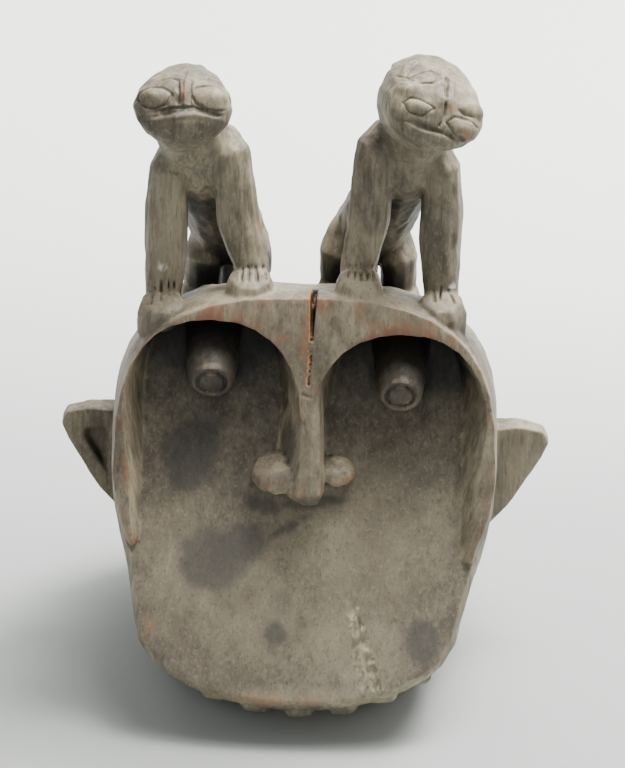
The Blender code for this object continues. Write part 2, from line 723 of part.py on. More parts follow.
def leopard_head(middle, size, turn, skull_share, mouth_height):
    """A round skull with a broad muzzle, two pads, a mouth and two small ears."""
    spin = (Matrix.Rotation(turn[2], 3, "Z") @ Matrix.Rotation(turn[0], 3, "X")
            @ Matrix.Rotation(turn[1], 3, "Y"))

    def local(x, forward, height):
        return tuple(middle + spin @ Vector((x * size, -forward * size, height * size)))

    rings = [[local(0, -0.215, 0.01)]]
    stations = ((-0.19, 0.080, 0.080, 0.012), (-0.13, 0.145, 0.140, 0.014),
                (-0.04, 0.178, 0.176, 0.016), (0.05, 0.192, 0.180, 0.008),
                (0.12, 0.198, 0.160, -0.014), (0.17, 0.190, 0.138, -0.030),
                (0.205, 0.158, 0.108, -0.038), (0.225, 0.100, 0.066, -0.042))
    for forward, width, height, lift in stations:
        narrow = skull_share + (1 - skull_share) * ease((forward + 0.10) / 0.22)
        ring = []
        for step in range(16):
            around = 2 * math.pi * step / 16
            ring.append(local(narrow * width * math.cos(around), forward,
                              lift + height * math.sin(around)))
        rings.append(ring)
    rings.append([local(0, 0.232, -0.042)])
    head = loft("leopard head", rings)
    mouth = []
    for step in range(9):
        x = 0.26 * (2 * step / 8 - 1)
        deep = 0.196 * math.sqrt(max(0.0, 1 - (x / 0.30) ** 2)) - 0.03
        mouth.append([local(x, deep, mouth_height), local(x, 0.30, mouth_height - 0.012),
                      local(x, 0.30, mouth_height + 0.010)])
    cut(head, loft("mouth line", mouth))
    for side in (-1, 1):
        join(head, pebble("pad", local(side * 0.100, 0.172, 0.004),
                          (0.084 * size, 0.058 * size, 0.052 * size), turn, 6, 10))
        join(head, pebble("leopard ear", local(side * 0.100 * skull_share, -0.060, 0.108),
                          (0.054 * size, 0.034 * size, 0.036 * size), turn, 5, 8))
    join(head, limb("ridge", [local(0, 0.10, 0.125), local(0, 0.165, 0.075), local(0, 0.210, 0.000)],
                    [0.024 * size, 0.028 * size, 0.034 * size], 8))
    return head


def leopard(pose, ground):
    """One leopard: long straight forelegs on the crest, and low haunches behind it."""
    side, size = pose["side"], LEOPARD_HEIGHT
    crest = CREST_HEIGHT - (SIDE_DROP * 0.7 if side > 0 else 0.0)
    leg = LEG_RADIUS * size

    def shift(across, back, up):
        """A step in shares of the animal's height."""
        return Vector((across, back, up)) * size

    def place(across, forward, height):
        return Vector(point(side * (LEOPARD_PLACE + across * size), forward, height))

    def on_ground(across, forward, lift):
        x = side * (LEOPARD_PLACE + across * size)
        return Vector(point(x, forward, ground(x, forward) + lift * size))

    parts = []
    shoulders = (pose["outer"][1] + pose["inner"][1]) / 2
    chest = place(shoulders, FORE_PLACE - 0.11 * size, crest + pose["chest"] * size)
    for foot_x, shoulder_x, shoulder_lift in (pose["outer"], pose["inner"]):
        foot = on_ground(foot_x, FORE_PLACE, -PAW_SINK)
        ankle = foot + shift(0, 0.02, PAW_HEIGHT + PAW_SINK)
        shoulder = place(shoulder_x, FORE_PLACE - 0.075 * size, crest + shoulder_lift * size)
        knee = place(foot_x * 0.4 + shoulder_x * 0.6, FORE_PLACE - 0.055 * size,
                     (foot.z + shoulder.z) / 2)
        blade = shoulder * 0.42 + chest * 0.58 + shift(0, 0.03, 0.045)
        parts.append(limb("foreleg", [foot, ankle, knee, shoulder, blade],
                          [leg * 0.9, leg * 0.88, leg * 1.04, leg, leg * 0.95]))
        parts.append(paw(foot + shift(0, -0.043, PAW_HEIGHT / 2), side * 0.12, 16, ground))
    haunches = pose["haunches"]
    rump = on_ground(sum(haunches) / 2, HIND_PLACE, 0.27)
    belly = (rump + chest) / 2 - shift(0, 0, 0.005)
    parts.append(limb("torso", [rump, belly, chest], [0.156 * size, 0.145 * size, 0.15 * size],
                      12, 2))
    for foot_x in haunches:
        haunch = (rump + on_ground(foot_x, HIND_PLACE, 0.28)) / 2
        knee = on_ground(foot_x, HIND_PLACE + 0.097 * size, 0.16)
        heel = on_ground(foot_x, HIND_PLACE + 0.011 * size, -PAW_SINK)
        parts.append(limb("hind leg", [haunch, knee, heel], [leg * 1.25, leg, leg * 0.85]))
        parts.append(paw(heel + shift(0, -0.054, PAW_HEIGHT / 2), side * 0.12, 12, ground))
    tail_x, drop = sum(haunches) / 2, HIND_PLACE - TAIL_PLACE
    tail_end = on_ground(tail_x, TAIL_PLACE, 0.022)
    tail = [rump + shift(0, 0.086, 0.022), on_ground(tail_x, HIND_PLACE - 0.71 * drop, 0.075),
            tail_end, tail_end - shift(0, 0.06, 0.18)]
    parts.append(limb("tail", tail, [TAIL_RADIUS * size] * len(tail), 8, 1))
    head_x, head_lift = pose["head"]
    head_middle = place(head_x, FORE_PLACE + 0.048 * size, crest + head_lift * size)
    neck_end = head_middle + shift(0, 0.075, -0.065)
    neck = NECK_RADIUS * size
    parts.append(limb("neck", [chest, (chest + neck_end) / 2, neck_end],
                      [neck * 0.85, neck, neck], 12))
    body = leopard_head(head_middle, size * pose["head_size"], pose["head_turn"],
                        pose["skull_share"], pose["mouth"])
    for piece in parts:
        join(body, piece)
    return body


def wood():
    """Old dark wood with a dull brown face."""
    material = bpy.data.materials.new("aged_wood")
    material.use_nodes = True
    shader = material.node_tree.nodes["Principled BSDF"]
    shader.inputs["Base Color"].default_value = (0.135, 0.105, 0.072, 1.0)
    shader.inputs["Roughness"].default_value = 0.62
    shader.inputs["Metallic"].default_value = 0.0
    return material


def ground_finder(body):
    """A function that gives the height of the body's top at a place."""
    shape = bmesh.new()
    shape.from_mesh(body.data)
    tree = BVHTree.FromBMesh(shape)
    shape.free()

    def height(x, forward):
        hit = tree.ray_cast(Vector((x, -forward, 1.0)), Vector((0, 0, -1)))
        return hit[0].z if hit[0] else 0.0

    return height


def tidy_faces(body):
    """Nearly flat groups of faces become one face, as far as the mesh stays closed."""
    for angle in FLAT_ANGLES:
        shape = bmesh.new()
        shape.from_mesh(body.data)
        bmesh.ops.dissolve_limit(shape, angle_limit=angle, verts=shape.verts, edges=shape.edges)
        bmesh.ops.triangulate(shape, faces=shape.faces)
        flaws = sum(len(edge.link_faces) != 2 for edge in shape.edges)
        if not flaws:
            shape.to_mesh(body.data)
        shape.free()
        if not flaws:
            break


def centre_on_floor(body):
    """Move the mesh so that the origin is under the middle of its box."""
    places = np.array([vertex.co[:] for vertex in body.data.vertices])
    low, high = places.min(axis=0), places.max(axis=0)
    shift = Matrix.Translation((-(low[0] + high[0]) / 2, -(low[1] + high[1]) / 2, -low[2]))
    body.data.transform(shift)


def helmet_mask():
    mask = skull()
    cut(mask, front_cutter())
    ground = ground_finder(mask)
    join(mask, jaw())
    cut(mask, face_cutter())
    cut(mask, floor_cutter())
    join(mask, nose())
    for side in (-1, 1):
        join(mask, eye(side))
        join(mask, nostril_wing(side))
        join(mask, ear(side))
        cut(mask, ear_hollow(side))
    cut(mask, mouth_cutter())
    for index in range(TOOTH_COUNT):
        join(mask, tooth(index))
    cut(mask, crack_cutter())
    for pose in (LEFT_LEOPARD, RIGHT_LEOPARD):
        join(mask, leopard(pose, ground))
    cut(mask, hollow())
    tidy_faces(mask)
    centre_on_floor(mask)
    mask.data.materials.clear()
    mask.data.materials.append(wood())
    mask.data.shade_smooth()
    mask.data.set_sharp_from_angle(angle=math.radians(38))
    return mask


helmet_mask()
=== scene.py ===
# %% [markdown]
# # A carved helmet mask with two leopards
#
# This notebook turns a plain solid of a wooden helmet mask into the carved, worn object of the
# photograph. The plain solid is the frame: the finished piece keeps its form and its place.
# Lengths are in metres, +Z is up, the face looks towards -Y and +X is on a viewer's right.

import math

import bmesh
import bpy
import numpy as np
from mathutils import Matrix, Vector
from mathutils.bvhtree import BVHTree


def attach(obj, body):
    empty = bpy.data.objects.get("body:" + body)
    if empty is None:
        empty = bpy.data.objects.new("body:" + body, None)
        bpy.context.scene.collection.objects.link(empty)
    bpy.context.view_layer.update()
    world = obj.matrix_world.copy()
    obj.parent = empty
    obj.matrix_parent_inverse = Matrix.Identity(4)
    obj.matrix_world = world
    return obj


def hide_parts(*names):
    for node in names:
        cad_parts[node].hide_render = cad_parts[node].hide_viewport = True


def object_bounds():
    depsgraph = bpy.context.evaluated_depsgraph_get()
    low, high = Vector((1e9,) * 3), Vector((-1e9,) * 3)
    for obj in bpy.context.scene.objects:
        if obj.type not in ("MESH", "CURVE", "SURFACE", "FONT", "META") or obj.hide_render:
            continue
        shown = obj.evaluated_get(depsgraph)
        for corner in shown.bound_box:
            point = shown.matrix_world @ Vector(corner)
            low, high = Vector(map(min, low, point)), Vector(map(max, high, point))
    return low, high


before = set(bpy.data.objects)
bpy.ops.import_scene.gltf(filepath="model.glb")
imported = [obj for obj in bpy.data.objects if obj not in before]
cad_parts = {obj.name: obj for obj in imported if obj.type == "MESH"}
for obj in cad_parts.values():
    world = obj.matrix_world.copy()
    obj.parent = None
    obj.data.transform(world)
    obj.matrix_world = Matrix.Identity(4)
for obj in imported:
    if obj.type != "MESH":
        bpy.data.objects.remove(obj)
bounds_at_start = [list(corner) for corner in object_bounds()]
bpy.ops.object.select_all(action="DESELECT")
print("bounds at the start", bounds_at_start)

# %% [markdown]
# ## The photograph's camera
#
# A long lens from a little above the face. Every mark that is placed by a picture position is
# sent out from this camera onto the wood, so that it sits on the form and not in the air.

# %% Camera
PICTURE_WIDTH, PICTURE_HEIGHT = 625, 768
CAMERA_LENS = 376.0
CAMERA_SENSOR = 36.0
CAMERA_DISTANCE = 5.0
CAMERA_ELEVATION = math.radians(25.0)
CAMERA_ROLL = math.radians(1.3)
CAMERA_AIM = Vector((0.0048, 0.04, 0.2015))

away = Vector((0.0, -math.cos(CAMERA_ELEVATION), math.sin(CAMERA_ELEVATION)))
camera_place = CAMERA_AIM + CAMERA_DISTANCE * away
camera_turn = (-away).to_track_quat("-Z", "Y").to_matrix() @ Matrix.Rotation(CAMERA_ROLL, 3, "Z")
camera_data = bpy.data.cameras.new("camera")
camera_data.lens = CAMERA_LENS
camera_data.sensor_fit = "HORIZONTAL"
camera_data.sensor_width = CAMERA_SENSOR
camera_data.clip_end = 50.0
camera = bpy.data.objects.new("camera", camera_data)
camera.matrix_world = Matrix.Translation(camera_place) @ camera_turn.to_4x4()
bpy.context.scene.collection.objects.link(camera)
bpy.context.scene.camera = camera
print("camera at", [round(value, 3) for value in camera_place])

# %% [markdown]
# ## A fine skin over the solid
#
# The solid has large flat facets. A copy of its mesh is rebuilt from small cubes, which gives
# even points that can be pushed about like clay.

# %% Dense copy of the solid
FINE = 0.00125
TRIANGLE_BUDGET = 195000
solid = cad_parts["helmet_mask"]
mask = bpy.data.objects.new("mask_carving", solid.data.copy())
bpy.context.scene.collection.objects.link(mask)
bpy.context.view_layer.objects.active = mask
mask.select_set(True)
bpy.ops.object.mode_set(mode="EDIT")
bpy.ops.mesh.select_all(action="SELECT")
bpy.ops.mesh.remove_doubles(threshold=0.00001)
bpy.ops.object.mode_set(mode="OBJECT")
mask.data.remesh_voxel_size = FINE
mask.data.remesh_voxel_adaptivity = 0.0
bpy.ops.object.voxel_remesh()
print("points in the dense skin:", len(mask.data.vertices))

# %% [markdown]
# The next cell holds the small tools for pushing points: reading them, evening them out with
# their neighbours, and pressing a line or a hollow into the surface.

# %% Tools for the surface
HEAD_MIDDLE_Y = 0.040
FOCAL_PIXELS = CAMERA_LENS / CAMERA_SENSOR * PICTURE_WIDTH


def read_points(mesh):
    flat = np.empty(len(mesh.vertices) * 3, np.float32)
    mesh.vertices.foreach_get("co", flat)
    return flat.reshape(-1, 3).astype(np.float64)


def read_facing(mesh):
    flat = np.empty(len(mesh.vertices) * 3, np.float32)
    mesh.vertex_normals.foreach_get("vector", flat)
    return flat.reshape(-1, 3).astype(np.float64)


def write_points(mesh, points):
    mesh.vertices.foreach_set("co", points.astype(np.float32).ravel())
    mesh.update()


def read_edges(mesh):
    flat = np.empty(len(mesh.edges) * 2, np.int32)
    mesh.edges.foreach_get("vertices", flat)
    return flat.reshape(-1, 2)


def ease(value, low, high):
    """Zero below low, one above high, and a soft step between them."""
    share = np.clip((value - low) / (high - low), 0.0, 1.0)
    return share * share * (3.0 - 2.0 * share)


def average(values, edges, count):
    """For each point, the mean value of its neighbours."""
    total = np.zeros_like(values)
    links = np.bincount(edges.ravel(), minlength=count).astype(np.float64)
    columns = values.reshape(count, -1)
    for column in range(columns.shape[1]):
        one = np.bincount(edges[:, 0], weights=columns[edges[:, 1], column], minlength=count)
        two = np.bincount(edges[:, 1], weights=columns[edges[:, 0], column], minlength=count)
        total.reshape(count, -1)[:, column] = (one + two) / np.maximum(links, 1.0)
    return total


def even_out(points, edges, amount, rounds):
    """Move points towards their neighbours, and back a little, so that the form doesn't shrink."""
    for turn in range(rounds):
        points = points + amount * 0.55 * (average(points, edges, len(points)) - points)
        points = points - amount * 0.50 * (average(points, edges, len(points)) - points)
    return points


def from_line(points, line):
    """Distance of each point to a broken line, and how far along the line it is, 0 to 1."""
    line = np.array(line, float)
    best = np.full(len(points), 1e9)
    share = np.zeros(len(points))
    lengths = np.linalg.norm(np.diff(line, axis=0), axis=1)
    walked = np.concatenate([[0.0], np.cumsum(lengths)])
    for index in range(len(line) - 1):
        start, run = line[index], line[index + 1] - line[index]
        t = np.clip((points - start) @ run / max(run @ run, 1e-12), 0.0, 1.0)
        far = np.linalg.norm(points - start - t[:, None] * run, axis=1)
        near = far < best
        best[near] = far[near]
        share[near] = (walked[index] + t[near] * lengths[index]) / walked[-1]
    return best, share


class Clay:
    """The dense skin's points while they are pushed about."""

    def __init__(self, thing):
        self.thing = thing
        self.points = read_points(thing.data)
        self.edges = read_edges(thing.data)
        self.refresh()

    def refresh(self):
        """Take the new shape into the mesh, and read the way that its surface faces."""
        write_points(self.thing.data, self.points)
        self.facing = read_facing(self.thing.data)
        self.tree = None

    def seen(self, across, down):
        """The point of the surface that shows at a position of the photograph.

        Just beside the outline, it is the nearest point of the surface.
        """
        if self.tree is None:
            self.thing.data.calc_loop_triangles()
            corners = np.empty(len(self.thing.data.loop_triangles) * 3, np.int32)
            self.thing.data.loop_triangles.foreach_get("vertices", corners)
            self.tree = BVHTree.FromPolygons(
                self.points.tolist(), corners.reshape(-1, 3).tolist(), all_triangles=True)
        ray = Vector(((across - PICTURE_WIDTH / 2) / FOCAL_PIXELS,
                      -(down - PICTURE_HEIGHT / 2) / FOCAL_PIXELS, -1.0))
        ray = (camera_turn @ ray).normalized()
        hit = self.tree.ray_cast(camera_place, ray)
        if hit[0] is not None:
            return np.array(hit[0])
        tries = [self.tree.find_nearest(camera_place + ray * (CAMERA_DISTANCE + step * 0.01))
                 for step in range(-40, 10)]
        return np.array(min(tries, key=lambda found: found[3])[0])

    def push(self, where, lift):
        """Lift the chosen points along the way that they face."""
        self.points[where] += lift[:, None] * self.facing[where]

    def close(self, line, reach):
        """The points within reach of a line's box."""
        line = np.array(line, float)
        low, high = line.min(axis=0) - reach, line.max(axis=0) + reach
        inside = np.all((self.points > low) & (self.points < high), axis=1)
        return np.nonzero(inside)[0]

    def stroke(self, line, width, lift, taper=0.0, toward=None):
        """Press a groove (a lift below zero) or raise a ridge along a line."""
        where = self.close(line, width)
        far, share = from_line(self.points[where], line)
        shape = np.clip(1.0 - (far / width) ** 2, 0.0, 1.0) ** 2
        if taper:
            ends = np.minimum(share, 1.0 - share)
            shape = shape * (1.0 - taper + taper * np.clip(ends / 0.25, 0.0, 1.0))
        if toward is not None:
            shape = shape * (self.facing[where] @ np.array(toward, float) > 0.0)
        self.push(where, lift * shape)

    def swell(self, middle, radii, lift):
        """Raise or sink a soft egg-shaped patch around a point."""
        middle, radii = np.array(middle, float), np.array(radii, float)
        where = self.close([middle], radii.max())
        far = np.linalg.norm((self.points[where] - middle) / radii, axis=1)
        self.push(where, lift * np.clip(1.0 - far ** 2, 0.0, 1.0) ** 2)


clay = Clay(mask)
print("the skin is ready; the forehead shows at", clay.seen(305, 300).round(3))

# %% [markdown]
# ## Softening the facets
#
# A carver leaves no machine edges. The dome, the ears and the animals are evened out most. The
# rim of the sunk face, the edge of the lower face, the eyes and the teeth keep their edges.

# %% Even out the facets
CROWN_HEIGHT, CREST_FORWARD, CREST_ROLL, BACK_SLOPE = 0.329, 0.084, 0.015, 0.52
HEAD_HALF_WIDTH = 0.145


def above_dome(points):
    """How far each point is over the helmet's dome."""
    forward = HEAD_MIDDLE_Y - points[:, 1]
    sideways = np.clip(np.abs(points[:, 0]) / HEAD_HALF_WIDTH, 0.0, 1.0)
    crown = CROWN_HEIGHT - BACK_SLOPE * CREST_ROLL * np.log1p(
        np.exp(np.clip((CREST_FORWARD - forward) / CREST_ROLL, -40, 40)))
    return points[:, 2] - crown * (0.58 + 0.42 * np.cbrt(1.0 - sideways ** 3))


def on_animal(points):
    return ease(above_dome(points), 0.001, 0.012) * ease(points[:, 2], 0.20, 0.22)


animal = on_animal(clay.points)
behind_face = ease(clay.points[:, 1], -0.085, -0.060)
ear_part = ease(np.abs(clay.points[:, 0]), 0.143, 0.149)
softness = np.clip(np.maximum.reduce([animal, 0.9 * behind_face, 0.6 * ear_part]), 0.12, 1.0)
FACE_NORMAL = np.array((0.0, -0.839, 0.545))
FACE_TOP = 0.30
flat_part = ((clay.facing @ FACE_NORMAL > 0.97) & (clay.points[:, 2] < FACE_TOP)).astype(float)
for turn in range(4):
    flat_part = average(flat_part, clay.edges, len(flat_part))
softness = np.maximum(softness, 0.9 * (flat_part > 0.98))
rounds = 36
clay.points = even_out(clay.points, clay.edges, softness[:, None], rounds)
clay.refresh()
print("evened out; points that belong to the animals:", int((animal > 0.5).sum()))

# %% [markdown]
# The heads and the front paws have the smallest carving, so their skin gets half-size cells.

# %% A finer skin on heads and paws
HEADS_FROM = 0.422
PAW_TOP, PAW_BACK_Y, PAW_LOWEST = 0.024, -0.030, 0.27


def split_cells(thing, chosen):
    """Cut every cell whose points are all chosen into four."""
    shape = bmesh.new()
    shape.from_mesh(thing.data)
    chosen = chosen.tolist()
    cuts = [edge for edge in shape.edges
            if chosen[edge.verts[0].index] and chosen[edge.verts[1].index]]
    bmesh.ops.subdivide_edges(shape, edges=cuts, cuts=1, use_grid_fill=True)
    bmesh.ops.triangulate(shape, faces=[face for face in shape.faces if len(face.verts) > 4])
    shape.to_mesh(thing.data)
    shape.free()


lift = above_dome(clay.points)
paw_part = (lift > -0.001) & (lift < PAW_TOP) & (clay.points[:, 1] < PAW_BACK_Y) & (
    clay.points[:, 2] > PAW_LOWEST)
split_cells(mask, (clay.points[:, 2] > HEADS_FROM) | paw_part)
clay = Clay(mask)
clay.points = even_out(clay.points, clay.edges, on_animal(clay.points)[:, None], 6)
clay.refresh()
print("points now:", len(clay.points))

# %% [markdown]
# ## Carving the animals
#
# The left leopard lifts its broad muzzle: two almond pads hang over a wide mouth. The right one
# turns and tilts its head. Each line is a list of picture positions, sent onto the wood.

# %% The left leopard's head
def line_of(*places):
    """A line on the wood through picture positions."""
    return [clay.seen(across, down) for across, down in places]


def groove(places, width, depth, taper=0.6):
    clay.stroke(line_of(*places), width, -depth, taper)


def ridge(places, width, height, taper=0.6):
    clay.stroke(line_of(*places), width, height, taper)


def pad(across, down, wide, high, tilt, height):
    """An egg-shaped swelling whose long axis is tilted in the picture."""
    reach = wide * 0.45
    run = (reach * math.cos(tilt), reach * math.sin(tilt))
    line = line_of((across - run[0], down - run[1]), (across, down),
                   (across + run[0], down + run[1]))
    clay.stroke(line, high * PIXEL_SIZE * 1.5, height, 0.25)


PIXEL_SIZE = 0.00075
pad(154, 97, 16, 8.0, -0.15, 0.0022)
pad(211, 99, 20, 9.5, 0.25, 0.0028)
clay.refresh()
groove([(139, 119), (154, 116.5), (172, 112), (194, 109.5), (206, 112), (216, 116), (233, 117)],
       0.0024, 0.0016, 0.5)
groove([(152, 112.5), (172, 108.5), (194, 107), (216, 113)], 0.0022, 0.0016)
ridge([(145, 123), (172, 117.5), (194, 115), (222, 120)], 0.0030, 0.0012)
groove([(137, 99.5), (142, 91), (152, 86.5), (163, 87), (172, 94)], 0.0015, 0.0015, 0.2)
groove([(137, 99.5), (144, 107), (155, 109), (166, 105), (172, 95)], 0.0016, 0.0018, 0.2)
groove([(190, 94), (197, 87.5), (210, 86), (224, 91.5), (232, 104)], 0.0015, 0.0015, 0.2)
groove([(190, 94), (196, 104), (208, 110), (222, 111), (232, 105)], 0.0016, 0.0018, 0.2)
ridge([(189, 72), (185.5, 84), (184.5, 93), (184.5, 104)], 0.0020, 0.0020, 0.2)
groove([(178, 80), (178.5, 92), (178, 103)], 0.0020, 0.0020, 0.3)
groove([(191, 80), (190.5, 93), (190, 103)], 0.0019, 0.0018, 0.3)
groove([(157, 82), (171, 78.5), (182, 80)], 0.0017, 0.0012)
groove([(192, 80), (206, 80), (222, 85)], 0.0017, 0.0012)
clay.swell(clay.seen(180, 131), (0.005, 0.005, 0.005), -0.0012)
clay.swell(clay.seen(198, 129), (0.005, 0.005, 0.005), -0.0012)
clay.swell(clay.seen(189, 144), (0.006, 0.006, 0.005), -0.0011)
clay.swell(clay.seen(166, 134), (0.006, 0.006, 0.005), -0.0010)
clay.swell(clay.seen(212, 133), (0.006, 0.006, 0.005), -0.0010)
for start, end in (((200, 154), (210, 156)), ((199, 160), (212, 162)), ((199, 165.5), (213, 167)),
                   ((201, 170.5), (214, 171.5))):
    groove([start, end], 0.0015, 0.0011)
groove([(170, 170), (180, 174), (188, 184)], 0.0026, 0.0013)
clay.refresh()
print("left head carved")

# %% [markdown]
# The right head has an incised almond eye with a ring at its inner corner, a deep groove beside
# the ridge of the nose, two tilted pads and a long mouth that slants down to the right.

# %% The right leopard's head
pad(419, 106, 15, 7, 0.35, 0.0022)
pad(465, 128, 17, 9, 0.38, 0.0040)
ridge([(404, 125), (424, 133), (446, 139), (464, 147)], 0.0036, 0.0012, 0.4)
clay.refresh()
groove([(394, 118), (410, 121), (424, 127), (440, 131.5), (451, 137), (468, 147)],
       0.0022, 0.0013, 0.5)
groove([(403, 103), (410, 98), (421, 99.5), (434, 108)], 0.0015, 0.0015, 0.2)
groove([(403, 103), (410, 112.5), (422, 116), (434, 109)], 0.0016, 0.0019, 0.2)
groove([(447, 122), (455, 117), (467, 119), (478, 128)], 0.0016, 0.0016, 0.2)
groove([(447, 123), (453, 133), (464, 141)], 0.0018, 0.0020, 0.2)
ridge([(416, 59), (408, 64), (402, 72)], 0.0026, 0.0016)
groove([(419, 62), (411, 68), (405, 76)], 0.0016, 0.0016)
groove([(447.5, 78), (447, 92), (446.5, 104), (445, 115), (439.5, 126)], 0.0021, 0.0032, 0.2)
groove([(458, 110), (466, 115.5), (476, 118)], 0.0016, 0.0010)
ridge([(453, 82), (452, 98), (451, 114), (446, 125)], 0.0024, 0.0016, 0.3)
groove([(409, 79), (421, 72.5), (433, 71), (441.5, 77.5)], 0.0011, 0.0014, 0.1)
groove([(409, 79), (421, 82.5), (433, 83), (441.5, 77.5)], 0.0011, 0.0014, 0.1)
groove([(397, 76), (411, 79)], 0.0012, 0.0012, 0.3)
groove([(434, 73.5), (437, 80), (440, 74)], 0.0010, 0.0011, 0.1)
clay.swell(clay.seen(424, 77.5), (0.006, 0.006, 0.003), 0.0010)
groove([(404, 141), (418, 150), (432, 155)], 0.0022, 0.0012)
clay.swell(clay.seen(420, 92), (0.012, 0.012, 0.009), -0.0012)
clay.refresh()
print("right head carved")

# %% [markdown]
# Toes: short grooves from the front of each paw up onto its back.

# %% Paws
TOE_GROOVES = (
    ((161.3, 281), (161, 291), (160, 300)), ((168.5, 279), (169, 287), (169.5, 295)),
    ((174.5, 281), (174.5, 288), (174, 294)), ((154, 288), (152, 296), (150.5, 303)),
    ((242.5, 268.5), (242, 275), (241, 281)), ((248.5, 267), (248.5, 274), (248.5, 281)),
    ((256, 267.5), (256.5, 274), (257, 280)), ((264, 267), (265.5, 273), (266.5, 279)),
    ((270.5, 268.5), (272, 273), (273, 277)),
    ((350, 265), (349, 272), (348, 278)), ((355.5, 265), (355, 273), (354.5, 280)),
    ((361, 265), (361, 273), (361, 280)), ((367, 266), (367.3, 273), (367.5, 280)),
    ((372.5, 266), (373, 273), (374, 280)),
    ((433, 290), (434, 296), (435, 301)), ((441.5, 287), (440.5, 293), (439.5, 299)),
    ((449, 290), (452, 298), (454, 303)))
for places in TOE_GROOVES:
    groove(places, 0.0015, 0.0024, 0.4)
clay.refresh()
print("toe grooves:", len(TOE_GROOVES))

# %% [markdown]
# ## The face
#
# The nose is cut in flat facets with an old knot at its root, and its left wing is a broad lobe
# with a shadow under it. Knife scratches cross the lower face.

# %% Nose, knot and scratches
pad(272, 471, 19, 9, -0.15, 0.0014)
pad(327, 474, 11, 8, 0.2, 0.0010)
clay.refresh()
clay.swell(clay.seen(264, 464), (0.014, 0.014, 0.011), -0.0032)
clay.swell(clay.seen(284, 462), (0.010, 0.010, 0.010), -0.0016)
clay.refresh()
groove([(297, 468), (293, 482), (284, 494)], 0.0020, 0.0018, 0.3)
groove([(256, 487), (272, 493), (292, 492)], 0.0040, 0.0016)
groove([(312, 492), (326, 494), (341, 491)], 0.0034, 0.0016)
groove([(296, 399), (303, 394), (312, 398)], 0.0032, 0.0022)
groove([(289.5, 420), (290.5, 434)], 0.0014, 0.0012)
groove([(284, 445), (284.5, 458)], 0.0014, 0.0010)
SCRATCHES = (
    ((327, 587), (333, 578), (341, 568)), ((367, 630), (376, 612), (386, 594)),
    ((403, 606), (411, 589), (419, 571)), ((294, 646), (300, 662), (303, 676)),
    ((301, 645), (306, 660), (309, 677)), ((309, 648), (313, 662), (315, 674)),
    ((316, 650), (319, 662), (320, 672)), ((345, 640), (353, 622), (362, 606)),
    ((196, 540), (230, 556), (262, 577)), ((233, 610), (243, 622), (256, 630)),
    ((377, 655), (392, 640), (404, 622)), ((181, 575), (186, 600), (196, 622)),
    ((352, 520), (357, 545), (355, 570)), ((216, 505), (220, 525), (219, 548)))
for places in SCRATCHES:
    groove(places, 0.0013, 0.00035, 0.8)
clay.refresh()
print("scratches:", len(SCRATCHES))

# %% [markdown]
# ## Tool marks
#
# Small uneven facets from the adze and the knife, drawn out along the grain, which runs up and
# down. They are strongest on the animals and the dome, and faint on the lower face.

# %% Tool marks
def cloud(points, size, seed):
    """Soft random values from -1 to 1 that change over about one size."""
    lattice = np.random.default_rng(seed).uniform(-1.0, 1.0, (64, 64, 64))
    scaled = points / np.array(size, float)
    base = np.floor(scaled).astype(np.int64)
    part = scaled - base
    part = part * part * (3.0 - 2.0 * part)
    total = np.zeros(len(points))
    for corner in range(8):
        step = np.array([corner & 1, (corner >> 1) & 1, corner >> 2])
        at = (base + step) % 64
        weight = np.prod(np.where(step, part, 1.0 - part), axis=1)
        total += weight * lattice[at[:, 0], at[:, 1], at[:, 2]]
    return total


animal = on_animal(clay.points)
face_plane = (clay.facing @ FACE_NORMAL > 0.97) & (clay.points[:, 2] < FACE_TOP)
calm = average(face_plane.astype(float), clay.edges, len(face_plane))
wide_marks = cloud(clay.points, (0.016, 0.016, 0.034), 3)
small_marks = cloud(clay.points, (0.0055, 0.0055, 0.014), 4)
fine_marks = cloud(clay.points, (0.0026, 0.0026, 0.010), 5)
strength = 0.00055 + 0.00030 * animal - 0.00040 * calm
lift = strength * (0.8 * wide_marks + (0.45 + 0.35 * animal) * small_marks) + 0.00014 * fine_marks
HOLLOW_HALF_WIDTH, HOLLOW_TOP, SOFT_EDGE = 0.100, 0.228, 0.004
HOLLOW_FRONT_Y, HOLLOW_FULL_Y = -0.070, -0.060
in_hollow = (ease(HOLLOW_HALF_WIDTH - np.abs(clay.points[:, 0]), 0.0, SOFT_EDGE) *
             ease(HOLLOW_TOP - clay.points[:, 2], 0.0, SOFT_EDGE) *
             ease(clay.points[:, 1], HOLLOW_FRONT_Y, HOLLOW_FULL_Y))
resting = ease(clay.points[:, 2], 0.002, 0.008) * (1.0 - in_hollow)
clay.push(np.arange(len(lift)), lift * resting)
clay.refresh()
print("tool marks from %.2f to %.2f mm" % (lift.min() * 1000, lift.max() * 1000))

# %% [markdown]
# ## Bringing the triangle count down
#
# The skin is thinned to its budget. The hollow and the back keep fewer triangles than the front,
# and flat places give way before carved ones. The lower face is then evened out once more, and
# no point may leave the solid's box.

# %% Thin the skin
BEHIND_FROM_Y, BEHIND_TOP, RIM_KEPT, BEHIND_SHARE = -0.030, 0.340, 0.003, 0.10
PLATE_MIDDLE, PLATE_HALF_WIDTH, PLATE_HALF_HEIGHT = 0.120, 0.095, 0.078


def thin_out(thing, chosen, ratio):
    """Thin only the cells between chosen points."""
    bpy.ops.object.mode_set(mode="EDIT")
    bpy.ops.mesh.select_mode(type="VERT")
    bpy.ops.mesh.select_all(action="DESELECT")
    bpy.ops.object.mode_set(mode="OBJECT")
    thing.data.vertices.foreach_set("select", chosen)
    bpy.ops.object.mode_set(mode="EDIT")
    bpy.ops.mesh.decimate(ratio=ratio)
    bpy.ops.object.mode_set(mode="OBJECT")


def triangle_count(thing):
    thing.data.calc_loop_triangles()
    return len(thing.data.loop_triangles)


